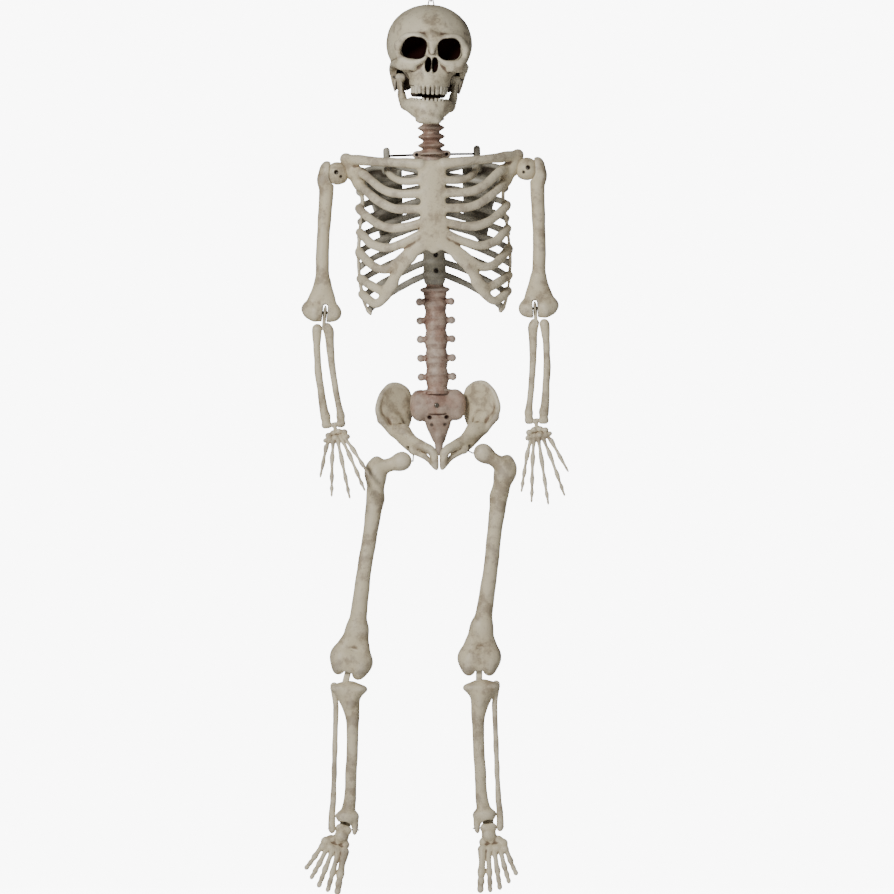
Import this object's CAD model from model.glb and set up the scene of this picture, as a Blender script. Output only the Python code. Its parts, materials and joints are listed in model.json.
"""Life-size hanging skeleton: moulded plastic bones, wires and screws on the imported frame."""
import json
import logging
import math
from dataclasses import dataclass, field
from enum import Enum
from itertools import product
from typing import Callable, Iterable, Protocol, Sequence

import bpy
import numpy as np
from mathutils import Matrix, Vector


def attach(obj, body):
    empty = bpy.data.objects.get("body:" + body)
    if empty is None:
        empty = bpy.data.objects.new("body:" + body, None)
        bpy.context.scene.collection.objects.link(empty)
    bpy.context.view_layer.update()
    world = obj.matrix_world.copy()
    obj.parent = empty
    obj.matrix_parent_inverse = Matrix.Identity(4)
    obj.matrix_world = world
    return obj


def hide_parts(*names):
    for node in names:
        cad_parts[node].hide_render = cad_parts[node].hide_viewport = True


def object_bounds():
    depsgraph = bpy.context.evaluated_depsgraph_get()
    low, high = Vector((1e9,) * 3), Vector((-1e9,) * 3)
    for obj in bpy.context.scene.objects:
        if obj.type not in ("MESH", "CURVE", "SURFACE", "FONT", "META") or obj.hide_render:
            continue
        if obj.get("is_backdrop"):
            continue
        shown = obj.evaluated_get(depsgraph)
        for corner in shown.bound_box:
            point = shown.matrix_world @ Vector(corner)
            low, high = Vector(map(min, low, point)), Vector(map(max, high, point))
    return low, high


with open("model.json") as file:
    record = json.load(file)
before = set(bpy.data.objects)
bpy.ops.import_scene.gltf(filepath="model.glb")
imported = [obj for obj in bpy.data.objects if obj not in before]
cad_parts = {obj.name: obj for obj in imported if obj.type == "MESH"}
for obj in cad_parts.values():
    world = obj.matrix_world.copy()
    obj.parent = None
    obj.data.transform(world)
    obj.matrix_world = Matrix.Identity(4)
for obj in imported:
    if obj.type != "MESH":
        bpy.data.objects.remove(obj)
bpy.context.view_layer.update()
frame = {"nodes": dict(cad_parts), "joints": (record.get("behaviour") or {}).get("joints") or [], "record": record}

LOG = logging.getLogger("skeleton")
MM = 0.001
Point = Sequence[float]
Station = tuple[float, float, float, float]


# ---------------------------------------------------------------------------------------------
# Forms: distance functions in millimetres
# ---------------------------------------------------------------------------------------------

class Form(Protocol):
    """Anything with a box and a signed distance."""

    def box(self) -> tuple[np.ndarray, np.ndarray]:
        """Lowest and highest corner."""

    def distance(self, x: np.ndarray, y: np.ndarray, z: np.ndarray) -> np.ndarray:
        """Signed distance at each point, negative inside."""


def turned(degrees: Point) -> np.ndarray:
    """Rotation matrix that turns about X, then Y, then Z.

    Args:
        degrees: The three angles.

    Returns:
        A 3 by 3 array.
    """
    turn = Matrix.Identity(3)
    for axis, angle in zip("XYZ", degrees):
        turn = Matrix.Rotation(math.radians(angle), 3, axis) @ turn
    return np.array(turn)


@dataclass
class Egg:
    """Ellipsoid with three half sizes, turned about its middle."""

    centre: Point
    radii: Point
    turn: Point = (0, 0, 0)

    def box(self) -> tuple[np.ndarray, np.ndarray]:
        """Lowest and highest corner."""
        reach = np.sqrt((turned(self.turn) ** 2) @ (np.array(self.radii, float) ** 2))
        return np.array(self.centre) - reach, np.array(self.centre) + reach

    def distance(self, x: np.ndarray, y: np.ndarray, z: np.ndarray) -> np.ndarray:
        """Signed distance at each point, nearly exact close to the surface."""
        rows = turned(self.turn).T
        offset = (x - self.centre[0], y - self.centre[1], z - self.centre[2])
        unit = grade = 0.0
        for row, radius in zip(rows, self.radii):
            along = row[0] * offset[0] + row[1] * offset[1] + row[2] * offset[2]
            unit = unit + (along / radius) ** 2
            grade = grade + (along / radius ** 2) ** 2
        unit = np.sqrt(unit)
        return unit * (unit - 1) / np.sqrt(grade + 1e-9)


@dataclass
class Slab:
    """Box with rounded edges, turned about its middle."""

    centre: Point
    half: Point
    turn: Point = (0, 0, 0)
    edge: float = 1.0

    def box(self) -> tuple[np.ndarray, np.ndarray]:
        """Lowest and highest corner."""
        reach = np.abs(turned(self.turn)) @ np.array(self.half, float)
        return np.array(self.centre) - reach, np.array(self.centre) + reach

    def distance(self, x: np.ndarray, y: np.ndarray, z: np.ndarray) -> np.ndarray:
        """Signed distance at each point."""
        rows = turned(self.turn).T
        offset = (x - self.centre[0], y - self.centre[1], z - self.centre[2])
        outside, deepest = 0.0, -1e9
        for row, half in zip(rows, self.half):
            gap = np.abs(row[0] * offset[0] + row[1] * offset[1] + row[2] * offset[2]) - (half - self.edge)
            outside = outside + np.maximum(gap, 0) ** 2
            deepest = np.maximum(deepest, gap)
        return np.sqrt(outside) + np.minimum(deepest, 0) - self.edge


@dataclass
class Chain:
    """Round bar through (x, y, z, radius) stations.

    A flat direction with a factor above one makes the bar that much thinner that way.
    """

    stations: Sequence[Station]
    flat: Point = (0, 0, 1)
    factor: float = 1.0

    def box(self) -> tuple[np.ndarray, np.ndarray]:
        """Lowest and highest corner."""
        rows = np.array(self.stations, float)
        return (rows[:, :3] - rows[:, 3:]).min(0), (rows[:, :3] + rows[:, 3:]).max(0)

    def distance(self, x: np.ndarray, y: np.ndarray, z: np.ndarray) -> np.ndarray:
        """Signed distance at each point, to the nearest stretch of the bar."""
        best = None
        way = np.array(self.flat, float) / np.linalg.norm(self.flat)
        rows = [np.array(row, float) for row in self.stations]
        for start, end in zip(rows, rows[1:]):
            span = end[:3] - start[:3]
            px, py, pz = x - start[0], y - start[1], z - start[2]
            share = (px * span[0] + py * span[1] + pz * span[2]) / max(float(span @ span), 1e-6)
            share = np.clip(share, 0, 1)
            dx, dy, dz = px - share * span[0], py - share * span[1], pz - share * span[2]
            square = dx * dx + dy * dy + dz * dz
            if self.factor != 1.0:
                across = dx * way[0] + dy * way[1] + dz * way[2]
                square = square + (self.factor ** 2 - 1) * across * across
            gap = np.sqrt(square) - (start[3] + share * (end[3] - start[3]))
            best = gap if best is None else np.minimum(best, gap)
        return best


@dataclass
class Plate:
    """Flat plate across Y with a straight-sided outline of (x, z) corners and rounded edges."""

    corners: Sequence[tuple[float, float]]
    back: float
    half: float = 2.5
    edge: float = 2.0

    def box(self) -> tuple[np.ndarray, np.ndarray]:
        """Lowest and highest corner."""
        rows = np.array(self.corners, float)
        low, high = rows.min(0), rows.max(0)
        return (np.array((low[0], self.back - self.half, low[1])),
                np.array((high[0], self.back + self.half, high[1])))

    def distance(self, x: np.ndarray, y: np.ndarray, z: np.ndarray) -> np.ndarray:
        """Signed distance at each point."""
        nearest, inside = np.full(np.broadcast(x, z).shape, 1e9), np.ones(np.broadcast(x, z).shape)
        rows = np.array(self.corners, float)
        for (ax, az), (bx, bz) in zip(rows, np.roll(rows, -1, 0)):
            ex, ez, wx, wz = bx - ax, bz - az, x - ax, z - az
            share = np.clip((wx * ex + wz * ez) / (ex * ex + ez * ez), 0, 1)
            nearest = np.minimum(nearest, (wx - share * ex) ** 2 + (wz - share * ez) ** 2)
            above, below, left = z >= az, z < bz, ex * wz > ez * wx
            inside = np.where((above & below & left) | (~above & ~below & ~left), -inside, inside)
        gaps = (inside * np.sqrt(nearest) + self.edge, np.abs(y - self.back) - self.half + self.edge)
        outside = np.sqrt(np.maximum(gaps[0], 0) ** 2 + np.maximum(gaps[1], 0) ** 2)
        return outside + np.minimum(np.maximum(*gaps), 0) - self.edge


def eased(stations: Sequence[Station], steps: int = 5) -> list[Station]:
    """Round off a list of stations with a Catmull-Rom curve.

    Args:
        stations: The points and radii that the curve passes.
        steps: How many stretches to make of each gap.

    Returns:
        The denser list.
    """
    rows = np.array(stations, float)
    ends = np.vstack([2 * rows[0] - rows[1], rows, 2 * rows[-1] - rows[-2]])
    result = []
    for index in range(len(rows) - 1):
        a, b, c, d = ends[index:index + 4]
        for step in range(steps):
            t = step / steps
            result.append(tuple(0.5 * (2 * b + (c - a) * t + (2 * a - 5 * b + 4 * c - d) * t * t
                                       + (3 * b - a - 3 * c + d) * t ** 3)))
    result.append(tuple(rows[-1]))
    return result


def bar(stations: Sequence[Station], flat: Point = (0, 0, 1), factor: float = 1.0) -> Chain:
    """Smooth round or flattened bar through a few stations."""
    return Chain(eased(stations), flat, factor)


# ---------------------------------------------------------------------------------------------
# Clay: forms blended on a grid, then skinned
# ---------------------------------------------------------------------------------------------

FAR = 60.0
MARGIN_CELLS = 4
FINE_ROUNDS, WIDE_ROUNDS = 8, 60
FINE_SHARE, WIDE_SHARE = 0.9, 0.38
GRAIN_DIRECTIONS = ((0.9, 0.3, 0.2), (-0.3, 0.8, 0.5), (0.2, -0.5, 0.85), (0.6, 0.6, -0.5))


@dataclass
class Shell:
    """Closed skin in millimetres, with one number for each point in every named layer."""

    points: np.ndarray
    quads: np.ndarray
    layers: dict[str, np.ndarray] = field(default_factory=dict)

    def mirrored(self) -> "Shell":
        """The same skin on the other side of X = 0."""
        return Shell(self.points * (-1, 1, 1), self.quads[:, ::-1], dict(self.layers))

    def moved(self, place: Matrix) -> "Shell":
        """The same skin in another place, in millimetres."""
        turn, shift = np.array(place.to_3x3()), np.array(place.translation)
        return Shell(self.points @ turn.T + shift, self.quads, dict(self.layers))

    def normals(self) -> np.ndarray:
        """Unit normal at each point."""
        a, b, c, d = (self.points[self.quads[:, i]] for i in range(4))
        face = np.cross(c - a, d - b)
        total = np.zeros_like(self.points)
        for corner in range(4):
            for axis in range(3):
                total[:, axis] += np.bincount(self.quads[:, corner], face[:, axis], len(self.points))
        return total / np.maximum(np.linalg.norm(total, axis=1, keepdims=True), 1e-9)

    def relaxed(self, rounds: int, share: float = 0.5) -> np.ndarray:
        """Points after each has moved towards the mean of its neighbours a number of times."""
        pairs = np.vstack([self.quads[:, [i, (i + 1) % 4]] for i in range(4)])
        pairs = np.vstack([pairs, pairs[:, ::-1]])
        count = np.maximum(np.bincount(pairs[:, 0], minlength=len(self.points)), 1)
        points = self.points.copy()
        for _ in range(rounds):
            for axis in range(3):
                mean = np.bincount(pairs[:, 0], points[pairs[:, 1], axis], len(points)) / count
                points[:, axis] += share * (mean - points[:, axis])
        return points

    def measure_hollows(self) -> None:
        """Fill the layer that says how far each point lies in a hollow, or on an edge if negative."""
        normals = self.normals()
        fine = ((self.relaxed(FINE_ROUNDS) - self.points) * normals).sum(1)
        wide = ((self.relaxed(WIDE_ROUNDS) - self.points) * normals).sum(1)
        self.layers["hollow"] = np.clip(fine * FINE_SHARE + wide * WIDE_SHARE, -1, 1)


class Clay:
    """A grid of distances that forms are added to and carved from, in millimetres."""

    def __init__(self, low: Point, high: Point, cell: float) -> None:
        """Start with an empty grid.

        Args:
            low: Lowest corner of the piece.
            high: Highest corner of the piece.
            cell: Size of one cell.
        """
        self.cell = cell * 1.0
        self.low = np.array(low, float) - MARGIN_CELLS * self.cell
        count = np.ceil((np.array(high, float) - self.low) / self.cell).astype(int) + 5
        self.grid = np.full(tuple(count), FAR, np.float32)
        self.painted: list[tuple[Form, float]] = []

    def _window(self, form: Form, margin: float) -> tuple[tuple[slice, ...], list[np.ndarray]]:
        """Part of the grid that a form reaches, and its coordinates."""
        low, high = form.box()
        first = np.floor((low - margin - self.low) / self.cell).astype(int)
        last = np.ceil((high + margin - self.low) / self.cell).astype(int) + 1
        first = np.clip(first, 0, self.grid.shape)
        last = np.clip(last, 0, self.grid.shape)
        axes = []
        for axis in range(3):
            shape = [1, 1, 1]
            shape[axis] = -1
            line = self.low[axis] + self.cell * np.arange(first[axis], last[axis])
            axes.append(line.reshape(shape).astype(np.float32))
        return tuple(slice(a, b) for a, b in zip(first, last)), axes

    def add(self, *forms: Form, blend: float = 3.0) -> "Clay":
        """Blend forms on, with a fillet of about the given size."""
        for form in forms:
            window, axes = self._window(form, blend + 3 * self.cell)
            new, old = form.distance(*axes), self.grid[window]
            mix = np.maximum(blend - np.abs(new - old), 0) / blend
            self.grid[window] = np.minimum(new, old) - mix * mix * blend / 4
        return self

    def carve(self, *forms: Form, blend: float = 1.0, paint: float = 0.0) -> "Clay":
        """Cut forms away, with their edges rounded, and remember which cuts are painted dark."""
        for form in forms:
            window, axes = self._window(form, blend + 3 * self.cell)
            new, old = -form.distance(*axes), self.grid[window]
            mix = np.maximum(blend - np.abs(new - old), 0) / blend
            self.grid[window] = np.maximum(new, old) + mix * mix * blend / 4
            if paint:
                self.painted.append((form, paint))
        return self

    def both(self, *forms: Form) -> list[Form]:
        """The given forms and their mirror twins."""
        return [twin for form in forms for twin in (form, mirror_form(form))]

    def roughen(self, depth: float, size: float) -> "Clay":
        """Swell and sink the surface gently, so that no stretch of it is a perfect tube."""
        axes = [self.low[a] + self.cell * np.arange(self.grid.shape[a]) for a in range(3)]
        x, y, z = (line.astype(np.float32) for line in np.ix_(*axes))
        wave = 0.0
        for index, (a, b, c) in enumerate(GRAIN_DIRECTIONS):
            rate = 2 * math.pi / (size * (1 + 0.37 * index))
            along, across = (a * x + b * y + c * z) * rate, (b * x - c * y + a * z) * rate
            wave = wave + np.sin(along + index) * np.cos(across * 0.7)
        self.grid += (wave * depth / 2).astype(np.float32)
        return self

    def skin(self) -> Shell:
        """Skin the clay where the distance is nought.

        Returns:
            A closed shell with its hollows measured and its painted cuts marked.
        """
        shell = skin_of(self.grid, self.low, self.cell)
        shell.points = shell.relaxed(2, 0.35)
        shell.measure_hollows()
        paint = np.zeros(len(shell.points))
        for form, strength in self.painted:
            x, y, z = (shell.points[:, a] for a in range(3))
            depth = np.clip(1.2 - form.distance(x, y, z) / 1.5, 0, 1)
            paint = np.maximum(paint, depth * strength)
        shell.layers["paint"] = paint
        return shell


def mirror_form(form: Form) -> Form:
    """The same form on the other side of X = 0."""
    if isinstance(form, Chain):
        rows = [(-x, y, z, r) for x, y, z, r in form.stations]
        return Chain(rows, (-form.flat[0], form.flat[1], form.flat[2]), form.factor)
    centre = (-form.centre[0], form.centre[1], form.centre[2])
    turn = (form.turn[0], -form.turn[1], -form.turn[2])
    if isinstance(form, Egg):
        return Egg(centre, form.radii, turn)
    return Slab(centre, form.half, turn, form.edge)


def skin_of(grid: np.ndarray, low: np.ndarray, cell: float) -> Shell:
    """Surface net: one point in each cell that the surface passes, one face for each crossed edge.

    Args:
        grid: Distances at the grid's corners.
        low: Place of the first corner.
        cell: Size of one cell.

    Returns:
        The skin, facing outwards.
    """
    inside = grid < 0
    size = np.array(grid.shape) - 1
    count = np.zeros(tuple(size), np.int8)
    for corner in product((0, 1), repeat=3):
        count += inside[tuple(slice(c, c + n) for c, n in zip(corner, size))]
    active = (count > 0) & (count < 8)
    number = np.full(tuple(size), -1, np.int64)
    cells = np.argwhere(active)
    number[active] = np.arange(len(cells))
    total, hits = np.zeros((len(cells), 3)), np.zeros(len(cells))
    for axis in range(3):
        step = np.eye(3, dtype=int)[axis]
        for pair in product((0, 1), repeat=2):
            start = cells + np.insert(np.array(pair), axis, 0)
            end = start + step
            a, b = grid[tuple(start.T)], grid[tuple(end.T)]
            crossed = (a < 0) != (b < 0)
            share = a[crossed] / (a[crossed] - b[crossed])
            total[crossed] += start[crossed] + share[:, None] * step
            hits[crossed] += 1
    points = total / hits[:, None] * cell + low
    faces = []
    for axis in range(3):
        second, third = (axis + 1) % 3, (axis + 2) % 3
        step = np.eye(3, dtype=int)
        a = inside[tuple(slice(0, -1) if i == axis else slice(1, -1) for i in range(3))]
        b = inside[tuple(slice(1, None) if i == axis else slice(1, -1) for i in range(3))]
        places = np.argwhere(a != b)
        outward = a[tuple(places.T)]
        places = places + (1 - step[axis])
        ring = [places - step[second] - step[third], places - step[third], places, places - step[second]]
        quads = np.stack([number[tuple(r.T)] for r in ring], 1)
        quads[~outward] = quads[~outward][:, ::-1]
        faces.append(quads)
    return Shell(points, np.vstack(faces))


# ---------------------------------------------------------------------------------------------
# The frame: where each piece goes
# ---------------------------------------------------------------------------------------------

JOINTS = {joint["name"]: joint for joint in frame["joints"]}


def joint_at(name: str) -> Vector:
    """Place of a joint at rest, in millimetres."""
    return Vector(JOINTS[name]["pos_m"]) / MM


def roll_between(upper: Vector, lower: Vector) -> float:
    """How far a bone that hangs from one point to another is turned about Y."""
    return math.atan2(upper.x - lower.x, upper.z - lower.z)


def place_at(origin: Vector, roll: float = 0.0, pitch: float = 0.0, yaw: float = 0.0) -> Matrix:
    """Frame of a piece, from its origin and its turns in radians about Y, X and Z."""
    turn = Matrix.Rotation(roll, 4, "Y") @ Matrix.Rotation(pitch, 4, "X") @ Matrix.Rotation(yaw, 4, "Z")
    return Matrix.Translation(origin) @ turn


@dataclass(frozen=True)
class RestPose:
    """Turns of the head and the trunk that no joint's place gives, in degrees."""

    head_roll: float = 2.5
    head_yaw: float = 3.5
    trunk_roll: float = -1.38
    crown_drop: float = 21.0
    neck_drop: float = 225.0
    neck_back: float = 18.0

    def head(self) -> Matrix:
        """Frame of the skull, at its crown."""
        return place_at(Vector((0, 0, -self.crown_drop)), math.radians(self.head_roll), 0,
                        math.radians(self.head_yaw))

    def trunk(self) -> Matrix:
        """Frame of the trunk, in the neck."""
        return place_at(Vector((0, self.neck_back, -self.neck_drop)), math.radians(self.trunk_roll))


REST = RestPose()


class Side(Enum):
    """The figure's own sides, and which way each is outward."""

    LEFT = 1
    RIGHT = -1

    @property
    def word(self) -> str:
        """The side's name in piece names."""
        return self.name.lower()


def put(name: str, shell: Shell, body: str, finish: bpy.types.Material,
        nodes: Iterable[str] = ()) -> bpy.types.Object:
    """Make a mesh object of a skin and fix it to its body.

    Args:
        name: The piece's name.
        shell: Its skin in the row's frame, in millimetres.
        body: The body that it moves with.
        finish: Its material.
        nodes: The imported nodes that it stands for.

    Returns:
        The new object.
    """
    mesh = bpy.data.meshes.new(name)
    quads = shell.quads
    mesh.vertices.add(len(shell.points))
    mesh.vertices.foreach_set("co", (shell.points * MM).astype(np.float32).ravel())
    mesh.loops.add(quads.size)
    mesh.loops.foreach_set("vertex_index", quads.astype(np.int32).ravel())
    mesh.polygons.add(len(quads))
    mesh.polygons.foreach_set("loop_start", np.arange(0, quads.size, 4, dtype=np.int32))
    mesh.update(calc_edges=True)
    mesh.validate()
    for layer, values in shell.layers.items():
        mesh.attributes.new(layer, "FLOAT", "POINT").data.foreach_set("value", values.astype(np.float32))
    mesh.shade_smooth()
    return fix(name, mesh, body, finish, nodes)


def fix(name: str, mesh: bpy.types.Mesh, body: str, finish: bpy.types.Material,
        nodes: Iterable[str] = ()) -> bpy.types.Object:
    """Link a finished mesh, give it its material and say what it rides on and stands for."""
    piece = bpy.data.objects.new(name, mesh)
    bpy.context.scene.collection.objects.link(piece)
    mesh.materials.clear()
    mesh.materials.append(finish)
    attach(piece, body)
    if nodes:
        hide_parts(*nodes)
    LOG.info("%s: %d faces on %s", name, len(mesh.polygons), body)
    return piece


# ---------------------------------------------------------------------------------------------
# Finishes
# ---------------------------------------------------------------------------------------------

class Tree:
    """Small helper that adds and links nodes of one tree."""

    def __init__(self, tree: bpy.types.NodeTree) -> None:
        """Work on the given tree."""
        self.tree = tree

    def add(self, kind: str, inputs: dict | None = None, **settings: object) -> bpy.types.Node:
        """Add a node, set its properties, and set or link its inputs.

        Args:
            kind: The node's type.
            inputs: Input names or numbers with a value or an output socket each.
            settings: Properties of the node.

        Returns:
            The node.
        """
        node = self.tree.nodes.new(kind)
        for name, value in settings.items():
            setattr(node, name, value)
        for name, value in (inputs or {}).items():
            socket = node.inputs[name]
            if isinstance(value, bpy.types.NodeSocket):
                self.tree.links.new(value, socket)
            else:
                socket.default_value = value
        return node

    def maths(self, operation: str, a: object, b: object = 0.0, clamp: bool = False) -> bpy.types.NodeSocket:
        """Result of one sum on two numbers."""
        node = self.add("ShaderNodeMath", {0: a, 1: b}, operation=operation, use_clamp=clamp)
        return node.outputs[0]

    def mix(self, share: object, a: object, b: object, blend: str = "MIX") -> bpy.types.NodeSocket:
        """Colour between two colours."""
        node = self.add("ShaderNodeMix", {0: share, 6: a, 7: b}, data_type="RGBA", blend_type=blend)
        return node.outputs[2]

    def noise(self, where: object, scale: float, detail: float = 4.0,
              rough: float = 0.55) -> bpy.types.NodeSocket:
        """Soft noise between 0 and 1."""
        node = self.add("ShaderNodeTexNoise", {"Vector": where, "Scale": scale, "Detail": detail,
                                               "Roughness": rough})
        return node.outputs["Fac"]

    def steps(self, value: object, low: float, high: float) -> bpy.types.NodeSocket:
        """Smooth rise from 0 at low to 1 at high."""
        node = self.add("ShaderNodeMapRange", {"Value": value, "From Min": low, "From Max": high},
                        interpolation_type="SMOOTHSTEP")
        return node.outputs[0]


def colour(red: float, green: float, blue: float) -> tuple[float, float, float, float]:
    """Screen colour in 0 to 255 as a shader colour."""
    def line(value: float) -> float:
        share = value / 255
        return share / 12.92 if share <= 0.04045 else ((share + 0.055) / 1.055) ** 2.4
    return line(red), line(green), line(blue), 1.0


def wash_group() -> bpy.types.NodeTree:
    """Group that ages a colour: mottling, brown wash in the hollows, dark paint and scuffed edges."""
    group = bpy.data.node_groups.new("aged_wash", "ShaderNodeTree")
    face = group.interface
    for name in ("Base", "Tint", "Wash", "Dark"):
        face.new_socket(name, in_out="INPUT", socket_type="NodeSocketColor")
    for name in ("Hollow", "Paint", "Stain", "Wash Amount", "Mottle"):
        face.new_socket(name, in_out="INPUT", socket_type="NodeSocketFloat")
    face.new_socket("Color", in_out="OUTPUT", socket_type="NodeSocketColor")
    face.new_socket("Roughness", in_out="OUTPUT", socket_type="NodeSocketFloat")
    face.new_socket("Height", in_out="OUTPUT", socket_type="NodeSocketFloat")
    tree = Tree(group)
    given = tree.add("NodeGroupInput").outputs
    where = tree.add("ShaderNodeTexCoord").outputs["Object"]
    broad = tree.noise(where, 22.0, 3.0)
    streak = tree.noise(where, 75.0, 6.0, 0.65)
    speck = tree.noise(where, 420.0, 3.0, 0.6)
    tint = tree.maths("MULTIPLY", tree.steps(broad, 0.42, 0.66), given["Mottle"])
    base = tree.mix(tint, given["Base"], given["Tint"])
    pale = tree.mix(tree.maths("MULTIPLY", tree.steps(streak, 0.5, 0.72), 0.14), base, colour(232, 228, 214))
    rough_hollow = tree.maths("ADD", given["Hollow"], tree.maths("MULTIPLY",
                                                                 tree.maths("SUBTRACT", streak, 0.5), 0.9))
    pooled = tree.maths("MULTIPLY", tree.steps(rough_hollow, 0.0, 0.66), given["Wash Amount"])
    grime = tree.maths("MULTIPLY", tree.steps(tree.maths("MULTIPLY", broad, streak), 0.22, 0.36), 0.55)
    dirt = tree.maths("ADD", tree.maths("MULTIPLY", tree.steps(speck, 0.62, 0.72), 0.55), grime, clamp=True)
    flecks = tree.maths("MULTIPLY", dirt, given["Wash Amount"])
    stain = tree.maths("MULTIPLY", given["Stain"], tree.steps(streak, 0.3, 0.62))
    share = tree.maths("MAXIMUM", tree.maths("MAXIMUM", pooled, flecks), stain, clamp=True)
    washed = tree.mix(share, pale, given["Wash"])
    edge = tree.steps(tree.maths("MULTIPLY", given["Hollow"], -1.0), 0.25, 0.9)
    worn = tree.mix(tree.maths("MULTIPLY", edge, 0.15), washed, colour(236, 232, 220))
    painted = tree.mix(given["Paint"], worn, given["Dark"])
    rough = tree.maths("ADD", tree.maths("MULTIPLY", streak, 0.22), tree.maths("MULTIPLY", share, 0.12))
    height = tree.maths("ADD", tree.maths("MULTIPLY", streak, 0.6), tree.maths("MULTIPLY", speck, 0.4))
    tree.add("NodeGroupOutput", {"Color": painted, "Roughness": tree.maths("ADD", rough, 0.36),
                                 "Height": height})
    return group


@dataclass(frozen=True)
class BoneFinish:
    """Matt ivory plastic with a rubbed-in wash, in its own tones."""

    name: str
    base: tuple[float, float, float] = (210, 197, 166)
    tint: tuple[float, float, float] = (194, 180, 150)
    wash: tuple[float, float, float] = (96, 70, 50)
    dark: tuple[float, float, float] = (16, 8, 6)
    wash_amount: float = 0.85
    mottle: float = 0.7
    bump: float = 0.35

    def material(self, group: bpy.types.NodeTree) -> bpy.types.Material:
        """Build the material round the shared ageing group.

        Args:
            group: The group that ages a colour.

        Returns:
            The material.
        """
        material = bpy.data.materials.new(self.name)
        material.use_nodes = True
        tree = Tree(material.node_tree)
        shader = material.node_tree.nodes["Principled BSDF"]
        layers = {name: tree.add("ShaderNodeAttribute", attribute_name=name).outputs["Fac"]
                  for name in ("hollow", "paint", "stain")}
        aged = tree.add("ShaderNodeGroup", {}, node_tree=group)
        for socket, value in (("Base", self.base), ("Tint", self.tint), ("Wash", self.wash),
                              ("Dark", self.dark)):
            aged.inputs[socket].default_value = colour(*value)
        aged.inputs["Wash Amount"].default_value = self.wash_amount
        aged.inputs["Mottle"].default_value = self.mottle
        link = material.node_tree.links.new
        for socket, layer in (("Hollow", "hollow"), ("Paint", "paint"), ("Stain", "stain")):
            link(layers[layer], aged.inputs[socket])
        bump = tree.add("ShaderNodeBump", {"Strength": self.bump, "Distance": 0.0006,
                                           "Height": aged.outputs["Height"]})
        link(aged.outputs["Color"], shader.inputs["Base Color"])
        link(aged.outputs["Roughness"], shader.inputs["Roughness"])
        link(bump.outputs["Normal"], shader.inputs["Normal"])
        gloss = tree.maths("MULTIPLY", tree.maths("SUBTRACT", 1.0, layers["paint"]), 0.35)
        link(gloss, shader.inputs["Specular IOR Level"])
        return material


@dataclass(frozen=True)
class MetalFinish:
    """Dull wire or screw metal with a little tarnish."""

    name: str
    base: tuple[float, float, float]
    tarnish: tuple[float, float, float]
    metallic: float = 0.9
    roughness: float = 0.38

    def material(self) -> bpy.types.Material:
        """Build the material."""
        material = bpy.data.materials.new(self.name)
        material.use_nodes = True
        tree = Tree(material.node_tree)
        shader = material.node_tree.nodes["Principled BSDF"]
        where = tree.add("ShaderNodeTexCoord").outputs["Object"]
        patch = tree.noise(where, 260.0, 5.0)
        blend = tree.steps(patch, 0.4, 0.7)
        tone = tree.mix(blend, colour(*self.base), colour(*self.tarnish))
        rough = tree.maths("ADD", tree.maths("MULTIPLY", blend, 0.25), self.roughness)
        bump = tree.add("ShaderNodeBump", {"Strength": 0.2, "Distance": 0.0002, "Height": patch})
        link = material.node_tree.links.new
        link(tone, shader.inputs["Base Color"])
        link(rough, shader.inputs["Roughness"])
        link(bump.outputs["Normal"], shader.inputs["Normal"])
        shader.inputs["Metallic"].default_value = self.metallic
        return material


class Palette:
    """Every finish of the figure, built once."""

    def __init__(self) -> None:
        """Build the shared group and the materials."""
        group = wash_group()
        self.bone = BoneFinish("ivory_bone").material(group)
        self.skull = BoneFinish("skull_bone", base=(218, 207, 178), wash=(84, 58, 44), dark=(34, 15, 12),
                                wash_amount=0.9).material(group)
        self.teeth = BoneFinish("tooth_enamel", base=(216, 208, 186), tint=(196, 184, 156), wash=(70, 48, 36),
                                wash_amount=1.0, mottle=0.8).material(group)
        self.stained = BoneFinish("stained_bone", base=(186, 166, 148), tint=(168, 136, 118),
                                  wash=(92, 58, 46),
                                  wash_amount=0.95, mottle=0.9).material(group)
        self.shade = BoneFinish("shaded_bone", base=(158, 152, 134), tint=(136, 128, 110), wash=(70, 58, 46),
                                wash_amount=0.9).material(group)
        self.steel = MetalFinish("pin_steel", (128, 122, 112), (84, 72, 60)).material()
        self.bronze = MetalFinish("bronze_wire", (138, 98, 60), (82, 54, 34)).material()
        self.rod = MetalFinish("dark_rod", (58, 50, 44), (34, 28, 24), 0.5, 0.5).material()


# ---------------------------------------------------------------------------------------------
# Repeated pieces made with node trees
# ---------------------------------------------------------------------------------------------

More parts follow.
